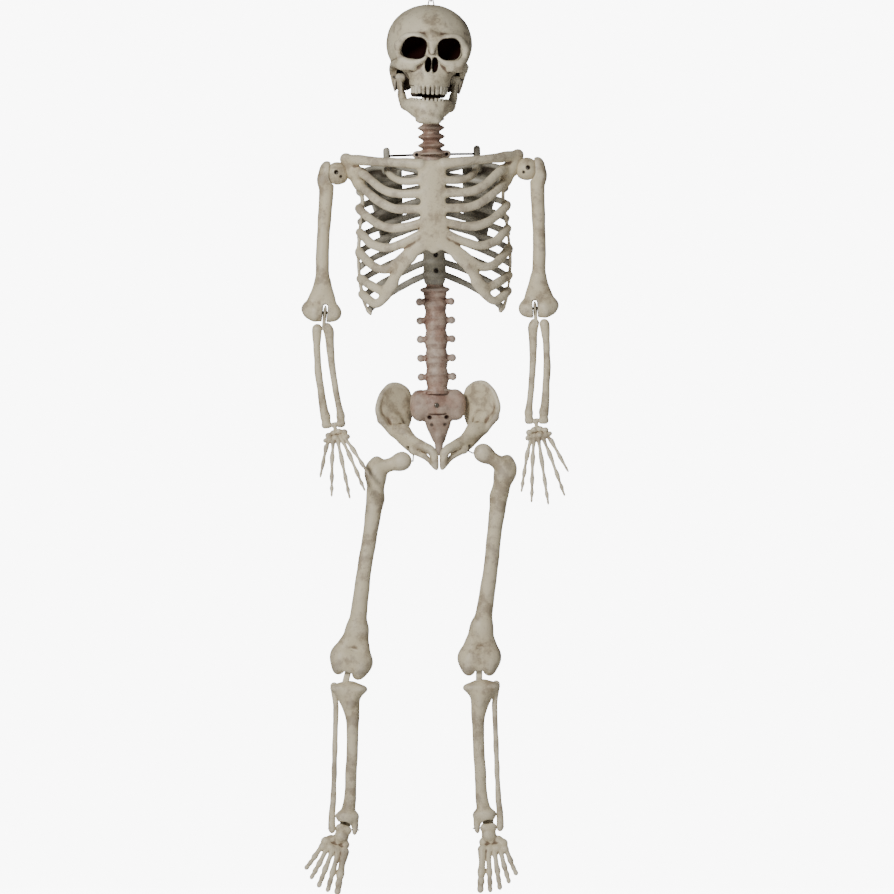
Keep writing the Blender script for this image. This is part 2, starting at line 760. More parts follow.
class NodeShape:
    """A geometry tree with named inputs, evaluated to a plain mesh."""

    def __init__(self, name: str, inputs: dict[str, tuple[str, object]]) -> None:
        """Start an empty tree.

        Args:
            name: The tree's name.
            inputs: Each input's socket kind and default.
        """
        self.group = bpy.data.node_groups.new(name, "GeometryNodeTree")
        face = self.group.interface
        face.new_socket("Geometry", in_out="INPUT", socket_type="NodeSocketGeometry")
        for word, (kind, default) in inputs.items():
            socket = face.new_socket(word, in_out="INPUT", socket_type=kind)
            if default is not None:
                socket.default_value = default
        face.new_socket("Geometry", in_out="OUTPUT", socket_type="NodeSocketGeometry")
        self.tree = Tree(self.group)
        self.given = self.tree.add("NodeGroupInput").outputs

    def close(self, geometry: bpy.types.NodeSocket) -> None:
        """End the tree with smooth shading, real instances and a material."""
        real = self.tree.add("GeometryNodeRealizeInstances", {"Geometry": geometry}).outputs[0]
        smooth = self.tree.add("GeometryNodeSetShadeSmooth", {"Geometry": real}).outputs[0]
        painted = self.tree.add("GeometryNodeSetMaterial", {"Geometry": smooth,
                                                            "Material": self.given["Material"]})
        self.tree.add("NodeGroupOutput", {"Geometry": painted.outputs[0]})

    def mesh(self, name: str, base: bpy.types.Mesh, place: Matrix, **inputs: object) -> bpy.types.Mesh:
        """Evaluate the tree on a base mesh.

        Args:
            name: Name of the new mesh.
            base: What the tree starts from.
            place: Where to put the result, in millimetres.
            inputs: Values for the named inputs, with _ for a space.

        Returns:
            A plain mesh in metres.
        """
        carrier = bpy.data.objects.new(name, base)
        bpy.context.scene.collection.objects.link(carrier)
        modifier = carrier.modifiers.new("tree", "NODES")
        modifier.node_group = self.group
        wanted = {word.replace("_", " "): value for word, value in inputs.items()}
        for item in self.group.interface.items_tree:
            if item.in_out == "INPUT" and item.name in wanted:
                modifier[item.identifier] = wanted[item.name]
        bpy.context.view_layer.update()
        solid = carrier.evaluated_get(bpy.context.evaluated_depsgraph_get())
        mesh = bpy.data.meshes.new_from_object(solid)
        mesh.name = name
        carrier.modifiers.remove(modifier)
        bpy.data.objects.remove(carrier)
        mesh.transform(Matrix.Scale(MM, 4) @ place)
        return mesh


def dots(points: Sequence[Point], facing: Sequence[Point] = ()) -> bpy.types.Mesh:
    """Mesh of loose points, each with the direction it faces."""
    mesh = bpy.data.meshes.new("dots")
    mesh.from_pydata([tuple(p) for p in points], [], [])
    if len(facing):
        layer = mesh.attributes.new("facing", "FLOAT_VECTOR", "POINT")
        layer.data.foreach_set("vector", np.array(facing, np.float32).ravel())
    return mesh


def arch_of_teeth() -> NodeShape:
    """Tree that stands rounded teeth along half an oval, the front ones broad and the side ones thick."""
    shape = NodeShape("arch_of_teeth", {
        "Count": ("NodeSocketInt", 12), "Half Width": ("NodeSocketFloat", 30.0),
                                        "Depth": ("NodeSocketFloat", 33.0),
        "Sweep": ("NodeSocketFloat", math.radians(130)), "Tooth Width": ("NodeSocketFloat", 7.0),
        "Tooth Height": ("NodeSocketFloat", 12.0), "Tooth Depth": ("NodeSocketFloat", 6.0),
        "Seed": ("NodeSocketInt", 4), "Material": ("NodeSocketMaterial", None)})
    tree, given = shape.tree, shape.given
    start = tree.maths("SUBTRACT", -math.pi / 2, tree.maths("DIVIDE", given["Sweep"], 2.0))
    arc = tree.add("GeometryNodeCurveArc", {"Resolution": 64, "Radius": 1.0, "Start Angle": start,
                                            "Sweep Angle": given["Sweep"]}, mode="RADIUS")
    size = tree.add("ShaderNodeCombineXYZ", {"X": given["Half Width"], "Y": given["Depth"], "Z": 1.0})
    oval = tree.add("GeometryNodeTransform", {"Geometry": arc.outputs["Curve"], "Scale": size.outputs[0]})
    stand = tree.add("GeometryNodeCurveToPoints", {"Curve": oval.outputs[0], "Count": given["Count"]},
                     mode="COUNT")
    turn = tree.add("FunctionNodeAlignRotationToVector", {"Vector": stand.outputs["Tangent"]}, axis="X",
                    pivot_axis="Z")
    cube = tree.add("GeometryNodeMeshCube", {"Size": (1, 1, 1), "Vertices X": 3, "Vertices Y": 3,
                                             "Vertices Z": 4})
    round_off = tree.add("GeometryNodeSubdivisionSurface", {"Mesh": cube.outputs["Mesh"], "Level": 2})
    height = tree.add("ShaderNodeSeparateXYZ", {0: tree.add("GeometryNodeInputPosition").outputs[0]})
    slim = tree.maths("ADD", 0.86, tree.maths("MULTIPLY", height.outputs["Z"], -0.30))
    waist = tree.add("ShaderNodeCombineXYZ", {"X": slim, "Y": slim, "Z": 1.0})
    place = tree.add("GeometryNodeInputPosition").outputs[0]
    slimmed = tree.add("ShaderNodeVectorMath", {0: place, 1: waist.outputs[0]}, operation="MULTIPLY")
    tooth = tree.add("GeometryNodeSetPosition", {"Geometry": round_off.outputs[0],
                                                 "Position": slimmed.outputs[0]})
    size = tree.add("ShaderNodeCombineXYZ", {"X": given["Tooth Width"], "Y": given["Tooth Depth"],
                                             "Z": given["Tooth Height"]})
    vary = tree.add("FunctionNodeRandomValue", {"Min": (0.86, 0.9, 0.84), "Max": (1.12, 1.1, 1.06),
                                                "Seed": given["Seed"]}, data_type="FLOAT_VECTOR")
    scale = tree.add("ShaderNodeVectorMath", {0: size.outputs[0], 1: vary.outputs[0]}, operation="MULTIPLY")
    row = tree.add("GeometryNodeInstanceOnPoints", {"Points": stand.outputs["Points"],
                                                    "Instance": tooth.outputs[0],
                                                    "Rotation": turn.outputs[0], "Scale": scale.outputs[0]})
    shape.close(row.outputs[0])
    return shape


def bellows() -> NodeShape:
    """Tree that turns a round bar with evenly spaced collars along Z."""
    shape = NodeShape("bellows", {
        "Bottom": ("NodeSocketFloat", -48.0), "Top": ("NodeSocketFloat", 56.0),
                                  "Pitch": ("NodeSocketFloat", 15.1),
        "Phase": ("NodeSocketFloat", 0.0), "Core": ("NodeSocketFloat", 12.5),
                                  "Disc": ("NodeSocketFloat", 24.0),
        "Material": ("NodeSocketMaterial", None)})
    tree, given = shape.tree, shape.given
    low = tree.add("ShaderNodeCombineXYZ", {"Z": given["Bottom"]})
    high = tree.add("ShaderNodeCombineXYZ", {"Z": given["Top"]})
    line = tree.add("GeometryNodeCurvePrimitiveLine", {"Start": low.outputs[0], "End": high.outputs[0]})
    fine = tree.add("GeometryNodeResampleCurve", {"Curve": line.outputs[0], "Count": 120})
    height = tree.add("ShaderNodeSeparateXYZ",
                      {0: tree.add("GeometryNodeInputPosition").outputs[0]}).outputs["Z"]
    wave = tree.maths("MULTIPLY", tree.maths("DIVIDE", tree.maths("SUBTRACT", height, given["Phase"]),
                                             given["Pitch"]), math.pi)
    ridge = tree.maths("POWER", tree.maths("ABSOLUTE", tree.maths("COSINE", wave)), 2.0)
    radius = tree.maths("ADD", given["Core"], tree.maths("MULTIPLY", ridge,
                                                         tree.maths("SUBTRACT", given["Disc"],
                                                                                     given["Core"])))
    ring = tree.add("GeometryNodeCurvePrimitiveCircle", {"Resolution": 48, "Radius": 1.0})
    sized = tree.add("GeometryNodeSetCurveRadius", {"Curve": fine.outputs[0], "Radius": radius})
    tube = tree.add("GeometryNodeCurveToMesh", {"Curve": sized.outputs[0], "Profile Curve": ring.outputs[0],
                                                "Fill Caps": True})
    if "Scale" in tube.inputs:
        tree.tree.links.new(tree.add("GeometryNodeInputRadius").outputs[0], tube.inputs["Scale"])
    shape.close(tube.outputs[0])
    return shape


def pan_screws() -> NodeShape:
    """Tree that puts a domed screw with a cross slot on every point, along its facing direction."""
    shape = NodeShape("pan_screws", {
        "Head Radius": ("NodeSocketFloat", 5.0), "Head Height": ("NodeSocketFloat", 2.0),
        "Slot": ("NodeSocketFloat", 1.1), "Material": ("NodeSocketMaterial", None)})
    tree, given = shape.tree, shape.given
    ball = tree.add("GeometryNodeMeshUVSphere", {"Segments": 32, "Rings": 16, "Radius": 1.0})
    size = tree.add("ShaderNodeCombineXYZ", {"X": given["Head Radius"], "Y": given["Head Radius"],
                                             "Z": given["Head Height"]})
    dome = tree.add("GeometryNodeTransform", {"Geometry": ball.outputs["Mesh"], "Scale": size.outputs[0]})
    long_way = tree.maths("MULTIPLY", given["Head Radius"], 1.2)
    bars = []
    for x, y in ((long_way, given["Slot"]), (given["Slot"], long_way)):
        cut = tree.add("ShaderNodeCombineXYZ", {"X": x, "Y": y, "Z": given["Head Height"]})
        cube = tree.add("GeometryNodeMeshCube", {"Size": cut.outputs[0]})
        lift = tree.add("ShaderNodeCombineXYZ", {"Z": given["Head Height"]})
        bars.append(tree.add("GeometryNodeTransform", {"Geometry": cube.outputs["Mesh"],
                                                       "Translation": lift.outputs[0]}).outputs[0])
    slotted = tree.add("GeometryNodeMeshBoolean", {"Mesh 1": dome.outputs[0]}, operation="DIFFERENCE")
    for piece in bars:
        tree.tree.links.new(piece, slotted.inputs["Mesh 2"])
    facing = tree.add("GeometryNodeInputNamedAttribute", {"Name": "facing"}, data_type="FLOAT_VECTOR")
    turn = tree.add("FunctionNodeAlignRotationToVector", {"Vector": facing.outputs[0]}, axis="Z")
    row = tree.add("GeometryNodeInstanceOnPoints", {"Points": given["Geometry"],
                                                    "Instance": slotted.outputs[0],
                                                    "Rotation": turn.outputs[0]})
    shape.close(row.outputs[0])
    return shape


# ---------------------------------------------------------------------------------------------
# Head
# ---------------------------------------------------------------------------------------------

def arch(half_width: float, back: float, depth: float, height: float, radius: float, sweep: float = 80,
         rise: float = 0.0) -> Chain:
    """Bar along half an oval at one height, open to the back.

    Args:
        half_width: Half the oval's width.
        back: Y of its middle.
        depth: How far it comes forward of that.
        height: Z at the front.
        radius: The bar's radius.
        sweep: How far it goes to each side, in degrees.
        rise: How much higher its ends are than its front.

    Returns:
        The bar.
    """
    rows = []
    for share in np.linspace(-1, 1, 17):
        angle = math.radians(sweep * share)
        rows.append((half_width * math.sin(angle), back - depth * math.cos(angle),
                     height + rise * (1 - math.cos(angle)), radius))
    return Chain(rows)


@dataclass
class Head:
    """Skull with its sockets and teeth, and the jaw that hangs open below it."""

    palette: Palette
    teeth: NodeShape
    place: Matrix = field(default_factory=REST.head)
    tooth_line: float = -150.5
    lower_tooth_line: float = -160.0
    seam_back: float = 8.0
    seam_half_width: float = 0.9
    inner_paint: float = 0.92

    def skull(self) -> None:
        """Model the braincase, brows, cheekbones, upper jaw and the openings."""
        clay = Clay((-78, -106, -160), (78, 102, 6), 1.3)
        both = clay.both
        clay.add(Egg((0, 8, -64), (74, 91, 68)), Egg((0, -32, -56), (60, 50, 46)), blend=24)
        clay.add(Egg((0, -46, -104), (44, 43, 38)), Egg((0, 48, -104), (42, 38, 26)), blend=18)
        clay.add(Egg((0, 10, -114), (42, 56, 22)), blend=14)
        clay.add(*both(bar([(4, -89, -63, 5), (27, -92.5, -54, 6.5), (46, -86, -56, 6.5),
                            (58, -72, -70, 5.5)])), blend=9)
        clay.add(*both(bar([(58, -72, -70, 5), (57, -72, -86, 5), (48, -82, -97, 6.5), (28, -89, -99, 6),
                            (14, -93, -90, 5)])), blend=8)
        clay.add(*both(bar([(34, -84, -106, 7), (51, -73, -104, 9), (61, -48, -101, 6.2),
                            (63.5, -22, -104, 4.4),
                            (62, 0, -109, 5.5), (57, 10, -112, 6)])), blend=7)
        clay.add(Egg((0, -58, -124), (31, 35, 19)), blend=14)
        clay.add(arch(28, -48, 36, -134, 6.5), blend=8)
        clay.add(bar([(0, -85, -54, 10), (0, -89, -62, 7), (0, -93, -72, 5.2), (0, -95.5, -80, 3.4)]),
                 blend=9)
        clay.add(*both(bar([(56, 16, -110, 10), (54, 14, -130, 8), (52.5, 12, -145, 5)])), blend=10)
        clay.add(*both(Egg((37, 20, -126), (15, 13, 20))), blend=8)
        clay.carve(*both(Slab((29.5, -84, -74), (19, 38, 18), (0, -7, -3), 14)), blend=3.5, paint=1.0)
        clay.carve(*both(bar([(1.2, -104, -81.5, 2.4), (3.8, -101, -93, 4.9), (6.4, -97, -106.5, 5.6)])),
                   blend=1.5,
                   paint=1.0)
        clay.carve(*both(Egg((5.5, -84, -102), (5.5, 18, 13))), blend=2, paint=1.0)
        clay.add(bar([(0, -90, -90, 1.2), (0, -94, -104, 1.3), (0, -97, -114, 2)]), blend=1.5)
        clay.carve(*both(Egg((72, -50, -85), (7.5, 20, 16), (0, 6, 8))), blend=5, paint=0.75)
        clay.carve(*both(Egg((53, -52, -129), (17, 38, 15.5), (0, 14, 0))), blend=4, paint=0.9)
        clay.carve(*both(Slab((47, -5, -138), (6.6, 21, 27), edge=2)), blend=1.5, paint=0.9)
        clay.carve(Slab((0, -57, self.tooth_line - 10), (46, 45, 20), edge=1), blend=1)
        clay.carve(Egg((0, -42, self.tooth_line), (21, 30, 20)), blend=4, paint=1.0)
        clay.add(Slab((0, -28, -146), (30, 12, 11), edge=5), blend=4)
        clay.roughen(0.35, 26)
        shell = clay.skin()
        points = shell.points
        across, back, up = np.abs(points[:, 0]), points[:, 1], points[:, 2]
        seam = np.abs(back - self.seam_back) < self.seam_half_width
        throat = (across < 36) & (up < -138) & (back > -72)
        temple = (across < 49) & (up < -112) & (np.abs(back + 4) < 26)
        shell.layers["stain"] = np.where(seam, 0.8, 0.0)
        inner = np.where(throat | temple, self.inner_paint, 0.0)
        shell.layers["paint"] = np.maximum(shell.layers["paint"], inner)
        put("skull", shell.moved(self.place), "skull", self.palette.skull,
            ("skull_face_shell", "skull_back_shell"))

    def upper_teeth(self) -> None:
        """Stand the upper teeth along the upper jaw."""
        place = self.place @ Matrix.Translation((0, -48, self.tooth_line + 6.5)) @ Matrix.Diagonal((1, 1,
                                                                                                    -1, 1))
        mesh = self.teeth.mesh("upper_teeth", dots([(0, 0, 0)]), place, Count=12, Half_Width=29.5, Depth=39.5,
                               Sweep=math.radians(150), Tooth_Width=7.3, Tooth_Height=17.5, Tooth_Depth=7.6,
                               Seed=4,
                               Material=self.palette.teeth)
        mesh.flip_normals()
        fix("upper_teeth", mesh, "skull", self.palette.teeth)

    def jaw(self) -> None:
        """Model the horseshoe jaw with its upright plates, and its teeth."""
        clay = Clay((-58, -94, -208), (58, 14, -112), 1.3)
        both = clay.both
        clay.add(arch(40, -20, 58, -169, 6.2, rise=1), arch(36.5, -21, 58, -180, 7.5, rise=10), blend=10)
        clay.add(arch(28, -22, 57, -193, 7.8, sweep=72, rise=22), blend=10)
        clay.add(Egg((0, -79, -193), (15, 9, 9)), *both(Egg((15, -76, -197), (7, 8, 5))), blend=8)
        clay.add(*both(bar([(39, -34, -172, 7.5), (42, -20, -164, 7.5), (44.5, -11, -154, 7)])), blend=6)
        clay.add(*both(bar([(43.5, -14, -162, 10), (46, -7, -148, 10), (47, -2, -136, 8.5)], (1, 0, 0),
                           1.9)), blend=6)
        clay.add(*both(Chain([(44.5, 0, -124, 7), (49.5, 0, -124, 7)]),
                       bar([(47, -1, -140, 6), (47, 0, -126, 6)])),
                 blend=4)
        clay.add(*both(bar([(45, -14, -156, 6), (46, -18, -144, 5), (46.5, -20, -134, 3)], (1, 0, 0), 1.6)),
                 blend=4)
        clay.roughen(0.3, 20)
        put("jaw", clay.skin().moved(self.place), "jaw", self.palette.skull, ("jaw",))
        place = self.place @ Matrix.Translation((0, -20, self.lower_tooth_line - 6))
        mesh = self.teeth.mesh("lower_teeth", dots([(0, 0, 0)]), place, Count=14, Half_Width=38.0, Depth=59.5,
                               Sweep=math.radians(120), Tooth_Width=6.9, Tooth_Height=15.0, Tooth_Depth=7.2,
                               Seed=9,
                               Material=self.palette.teeth)
        fix("lower_teeth", mesh, "jaw", self.palette.teeth)

    def build(self) -> None:
        """Build every piece of the head."""
        self.skull()
        self.upper_teeth()
        self.jaw()


# ---------------------------------------------------------------------------------------------
# Trunk
# ---------------------------------------------------------------------------------------------

@dataclass
class Chest:
    """Ribcage in a front and a back moulding, collar bones, shoulder blades and neck."""

    palette: Palette
    collars: NodeShape
    screws: NodeShape
    place: Matrix = field(default_factory=REST.trunk)
    half_width: float = 128.0
    front_depth: float = 84.0
    back_depth: float = 60.0
    middle: float = -12.0
    spine_back: float = 16.0

    FRONT = (
        ((22, -118.5), (60, -117.5), (87, -108), (115, -84), (132, -75)),
        ((22, -144.6), (62, -143.6), (89, -132), (114, -111.5), (130, -94), (141, -76), (149, -55)),
        ((20, -168), (50, -175), (73, -176), (98, -167), (122, -147), (127, -140)),
        ((18, -186), (47, -200), (78, -210), (104, -204), (118, -191), (127, -181)),
        ((14, -200), (50, -223.5), (78.5, -245.5), (103.5, -241.5), (129, -215.5)),
        ((40, -228), (61, -248), (86, -281), (110, -273), (127.5, -261)),
        ((70, -272), (84, -292), (101, -305), (117, -296), (125, -288)),
    )

    def depth_at(self, across: float) -> float:
        """How far round the chest the wall lies at a distance from the middle, from 0 to 1."""
        return math.sqrt(max(0.0, 1 - (across / self.half_width) ** 2))

    def front_rib(self, path: Sequence[tuple[float, float]], radius: float) -> Chain:
        """Flattened bar along the chest's front wall, through (x, z) places."""
        rows = [(x, self.middle - self.front_depth * self.depth_at(x), z, radius) for x, z in path]
        return bar(rows, (0, 1, 0), 1.3)

    def side_rail(self) -> Chain:
        """Thin rail down the side, where the two mouldings meet."""
        line = ((123, -104, 5), (121, -134, 4), (126, -171, 4), (129, -200, 4), (130.5, -226, 4),
                (129.5, -256, 4),
                (126, -283, 4), (119.5, -310, 4), (112, -322, 4.5))
        return bar([(x, self.middle, z, radius - 0.8) for x, z, radius in line])

    def front(self) -> None:
        """Model the breastbone, the front ribs, the collar bones and the shoulder corners."""
        clay = Clay((-158, -108, -330), (158, 2, -42), 1.6)
        both = clay.both
        clay.add(bar([(0, -95, -85, 24), (0, -97, -104, 20.5), (0, -98, -130, 21), (0, -98, -172, 22),
                      (0, -97, -200, 17), (0, -95, -213, 9)], (0, 1, 0), 3.2), blend=1)
        for path in self.FRONT:
            clay.add(*both(self.front_rib(path, 7.8)), blend=7)
        clay.add(*both(bar([(20, -95, -95.6, 7), (48, -86, -97, 6.5), (66, -66, -90, 6), (75, -40, -80, 6),
                            (78, -14, -74, 6)])), blend=7)
        clay.add(*both(self.front_rib([(10, -204), (32, -221), (50, -238), (68, -264), (86, -290)], 6.0)),
                 blend=7)
        clay.add(*both(bar([(20, -95, -68, 10), (58, -87, -64, 8), (98, -64, -61, 8), (128, -34, -57, 9),
                            (148, -14, -53, 6.5)])), blend=7)
        clay.add(*both(bar([(147, -14, -55, 7), (138, -18, -72, 12), (128, -20, -90, 11),
                            (122, -18, -110, 6)])), blend=10)
        clay.add(*both(Chain([(122, -12, -79, 10), (143, -12, -79, 10)])), blend=3)
        clay.add(*both(self.side_rail()), blend=4)
        clay.carve(Slab((0, 12, -180), (200, 23.6, 200), edge=0.2), blend=0.4)
        clay.roughen(0.5, 34)
        put("chest_front", clay.skin().moved(self.place), "torso", self.palette.bone,
            ("ribcage_front",))

    def back_rib(self, index: int) -> Chain:
        """Bar from the side rail round the back to the spine."""
        root, tip = -84 - 21.5 * index, -112 - 25.5 * index
        reach = 126 - max(0, index - 6) * 6
        rows = []
        for share in (0.0, 0.12, 0.3, 0.5, 0.7, 0.86, 1.0):
            angle = math.radians(90 * share)
            x = 14 + (reach - 14) * math.cos(angle) ** 0.9
            y = self.middle + self.back_depth * math.sin(angle)
            rows.append((x, y - 20 * max(0.0, share - 0.7),
                         tip + (root - tip) * (1 - math.cos(angle)) ** 0.8, 5.8))
        return bar(rows)

    def back(self) -> None:
        """Model the back ribs and the upper spine."""
        clay = Clay((-158, -14, -330), (158, 70, -42), 1.8)
        both = clay.both
        clay.add(Chain([(0, self.spine_back, -68, 19), (0, self.spine_back, -262, 19)]), blend=1)
        for index in range(9):
            height = -84 - 21.5 * index
            clay.add(Egg((0, self.spine_back, height), (20.5, 20, 8)), blend=4)
            clay.add(*both(self.back_rib(index)), blend=5)
        clay.add(*both(bar([(76, -10, -76, 6), (66, 30, -68, 6), (12, 28, -80, 6)])), blend=5)
        clay.add(*both(self.side_rail(), Chain([(147, -14, -55, 6), (124, -12, -104, 8)]),
                       Chain([(122, -12, -79, 10), (143, -12, -79, 10)])), blend=4)
        clay.carve(Slab((0, -36.2, -180), (200, 24, 200), edge=0.2), blend=0.4)
        for height in (-223, -250):
            clay.carve(Egg((3, self.spine_back - 20, height), (3.4, 5, 3.4)), blend=1, paint=1.0)
        clay.roughen(0.5, 34)
        put("chest_back", clay.skin().moved(self.place), "torso", self.palette.shade,
            ("ribcage_back",))

    def shoulder_blades(self) -> None:
        """Model both shoulder blades with their pegs and rims."""
        clay = Clay((48, 44, -204), (124, 78, -34), 1.6)
        outline = ((53, -66), (119, -70), (115, -100), (99, -148), (88, -202), (78, -202), (55, -164))
        clay.add(Plate(outline, 65), blend=1)
        clay.add(bar([(56, 64, -70, 3.5), (86, 62, -70, 4), (114, 60, -74, 4.5), (113, 63, -98, 3.5),
                      (98, 65, -146, 3.5), (85, 65, -197, 3.5), (57, 65, -162, 3), (55, 65, -112, 3),
                      (56, 64, -70, 3.5)]), blend=4)
        clay.add(bar([(58, 70, -100, 3), (88, 72, -86, 4), (112, 68, -78, 5)]), blend=4)
        clay.add(bar([(78, 54, -41, 6), (78, 55, -56, 6.3), (80, 61, -76, 6.3)]), blend=4)
        clay.roughen(0.5, 24)
        shell = clay.skin()
        for side in Side:
            half = shell if side is Side.LEFT else shell.mirrored()
            put(f"{side.word}_shoulder_blade", half.moved(self.place), "torso", self.palette.shade,
                (f"{side.word}_scapula",))

    def neck(self) -> None:
        """Turn the neck's collars and model the block below them."""
        mesh = self.collars.mesh("neck", dots([(0, 0, 0)]), self.place, Bottom=-50.0, Top=55.0, Pitch=15.1,
                                 Phase=-34.6, Core=14.5, Disc=23.5, Material=self.palette.stained)
        fix("neck_bellows", mesh, "torso", self.palette.stained, ("neck_column",))
        clay = Clay((-36, -14, -72), (36, 30, -40), 1.2)
        clay.add(Chain([(0, 8, -49, 18), (0, 8, -62, 19)]), blend=1)
        clay.add(*clay.both(Chain([(10, 6, -50, 7), (26, 6, -50, 7)])), blend=5)
        clay.carve(*clay.both(Egg((26, -2, -50), (2.6, 4, 2.6))), blend=1, paint=1.0)
        clay.roughen(0.4, 18)
        put("neck_block", clay.skin().moved(self.place), "torso", self.palette.stained)

    def screws_in(self) -> None:
        """Drive the screw in the breastbone and the two deep ones in the upper spine."""
        deep = self.screws.mesh("spine_screws", dots([(3, -1.2, -223), (3, -1.2, -250)], [(0, -1, 0)] * 2),
                                self.place,
                                Head_Radius=3.1, Head_Height=1.2, Slot=0.7, Material=self.palette.rod)
        fix("spine_screws", deep, "torso", self.palette.rod, ("spine_screws",))
        mesh = self.screws.mesh("breast_screw", dots([(-1.9, -100.5, -187)], [(0, -1, 0)]), self.place,
                                Head_Radius=5.2, Head_Height=2.4, Slot=1.2, Material=self.palette.steel)
        fix("breast_screw", mesh, "torso", self.palette.steel, ("sternum_screw",))

    def build(self) -> None:
        """Build every piece of the chest."""
        self.front()
        self.back()
        self.shoulder_blades()
        self.neck()
        self.screws_in()


@dataclass
class LowerTrunk:
    """Lower spine, sacrum and hip bones."""

    palette: Palette
    screws: NodeShape
    place: Matrix = field(default_factory=REST.trunk)
    back: float = 16.0
    pitch: float = 32.4
    eye: tuple[float, float, float] = (43, -14, -557)

    def lumbar(self) -> None:
        """Model the lower spine: waisted blocks with an ear on each side between them."""
        clay = Clay((-36, -12, -458), (36, 54, -270), 1.3)
        both = clay.both
        back = self.back
        clay.add(Chain([(0, back, -276, 15), (0, back, -448, 15)]), blend=1)
        clay.add(Egg((0, back, -283), (26, 21, 7)), blend=4)
        for index in range(6):
            height = -288 - index * self.pitch
            waisted = bar([(0, back, height + 9.5, 19.5), (0, back, height, 16.8),
                           (0, back, height - 9.5, 19.5)])
            clay.add(waisted if index else Egg((0, back, height - 3), (20, 19, 12)), blend=2)
            if index < 5:
                seam = height - self.pitch / 2
                clay.carve(Slab((0, back, seam), (30, 30, 0.7), edge=0.6), blend=3)
                clay.add(*both(bar([(14, back, seam + 1, 6), (24, back - 1, seam + 1, 5.6),
                                    (27, back - 1, seam + 1, 7)])),
                         blend=3)
                clay.add(bar([(0, back + 14, seam, 6), (0, back + 32, seam - 8, 4)]), blend=5)
        clay.roughen(0.5, 18)
        shell = clay.skin()
        wave = np.sin(shell.points[:, 2] * 2 * math.pi / self.pitch)
        shell.layers["stain"] = np.clip(0.2 + 0.55 * wave ** 2, 0, 0.6)
        put("lower_spine", shell.moved(self.place), "torso", self.palette.stained,
            ("lumbar_spine",))

    def sacrum(self) -> None:
        """Model the winged sacrum with its holes and tail, and drive its screw."""
        clay = Clay((-50, -4, -572), (50, 46, -448), 1.2)
        both = clay.both
        back = self.back
        clay.add(Egg((0, back + 2, -480), (34, 17, 27)), blend=1)
        clay.add(*both(Egg((30, back + 3, -477), (18, 15, 23)), Egg((32, back + 3, -492), (14, 13, 17))),
                 blend=6)
        clay.add(bar([(0, back + 6, -496, 26), (0, back + 10, -518, 19), (0, back + 12, -536, 12.5)],
                     (0, 1, 0), 1.7),
                 blend=8)
        clay.add(bar([(0, back + 10, -534, 11), (0, back + 9, -546, 8), (0, back + 7, -556, 6.5),
                      (0, back + 4, -565, 4)]), blend=3)
        clay.add(Egg((0, back, -456), (23, 18, 6)), blend=4)
        for height, across in ((-503, 15), (-516, 12), (-528, 9)):
            clay.carve(*both(Egg((across, back - 8, height), (3.6, 7, 3.2))), blend=2, paint=0.7)
            clay.carve(Slab((0, back - 11, height + 5), (across, 3, 1.1), edge=0.6), blend=2, paint=0.35)
        clay.carve(*both(Egg((34, back - 16, -478), (7, 5, 8))), blend=5)
        clay.carve(Slab((0, 12, -430), (60, 60, 24), edge=0.5), blend=1)
        clay.roughen(0.6, 16)
        shell = clay.skin()
        shell.layers["stain"] = np.full(len(shell.points), 0.3)
        put("sacrum", shell.moved(self.place), "torso", self.palette.stained, ("sacrum",))
        mesh = self.screws.mesh("sacrum_screw", dots([(-2, 1.0, -482)], [(0, -1, 0)]), self.place,
                                Head_Radius=4.4,
                                Head_Height=2.4, Slot=1.1, Material=self.palette.steel)
        fix("sacrum_screw", mesh, "torso", self.palette.steel, ("sacrum_screw",))

    def hip_bones(self) -> None:
        """Model one hip bone and mirror it: fan, rim, socket and the branch to the front."""
        clay = Clay((-4, -50, -600), (112, 66, -436), 1.4)
        tilt = (0, 12, -35)
        clay.add(Egg((72, 22, -486), (35, 7, 43), tilt), blend=1)
        clay.add(bar([(100, 2, -505, 4.5), (104, -1, -484, 4.5), (94, 7, -458, 4.5), (76, 20, -444.5, 4.5),
                      (55, 35, -452, 4.5), (48, 40, -468, 4.5)]), blend=5)
        clay.add(bar([(98, 4, -506, 5), (80, 8, -524, 8), (66, 6, -530, 12)]), blend=7)
        clay.add(bar([(72, 14, -506, 13), (64, 6, -522, 15), (47, -9, -541, 10.5), (26, -28, -552, 8.5),
                      (12, -37, -562, 8), (7, -39, -578, 6.5), (5, -40, -590, 4)]), blend=6)
        clay.add(bar([(60, 4, -540, 10), (44, -10, -556, 9), (24, -26, -570, 5.5), (8, -38, -586, 5)]),
                 blend=5)
        clay.add(Egg(self.eye, (9.5, 9.5, 9.5)), blend=4)
        clay.carve(Egg((66, 5, -480), (25, 8, 33), tilt), blend=13)
        x, y, z = self.eye
        clay.carve(Slab((x, y, z - 4.5), (14, 2.6, 9.5), edge=0.5), blend=0.6, paint=0.6)
        clay.carve(Egg((30, -20, -561), (6, 5, 3.5), (0, 20, 0)), blend=3, paint=0.3)
        clay.roughen(0.6, 26)
        shell = clay.skin()
        for side in Side:
            half = shell if side is Side.LEFT else shell.mirrored()
            put(f"{side.word}_hip", half.moved(self.place), "torso", self.palette.bone,
                (f"{side.word}_hip_bone",))

    def build(self) -> None:
        """Build every piece of the lower trunk."""
        self.lumbar()
        self.sacrum()
        self.hip_bones()


# ---------------------------------------------------------------------------------------------
# Limbs: each bone is modelled for the left side and mirrored
# ---------------------------------------------------------------------------------------------

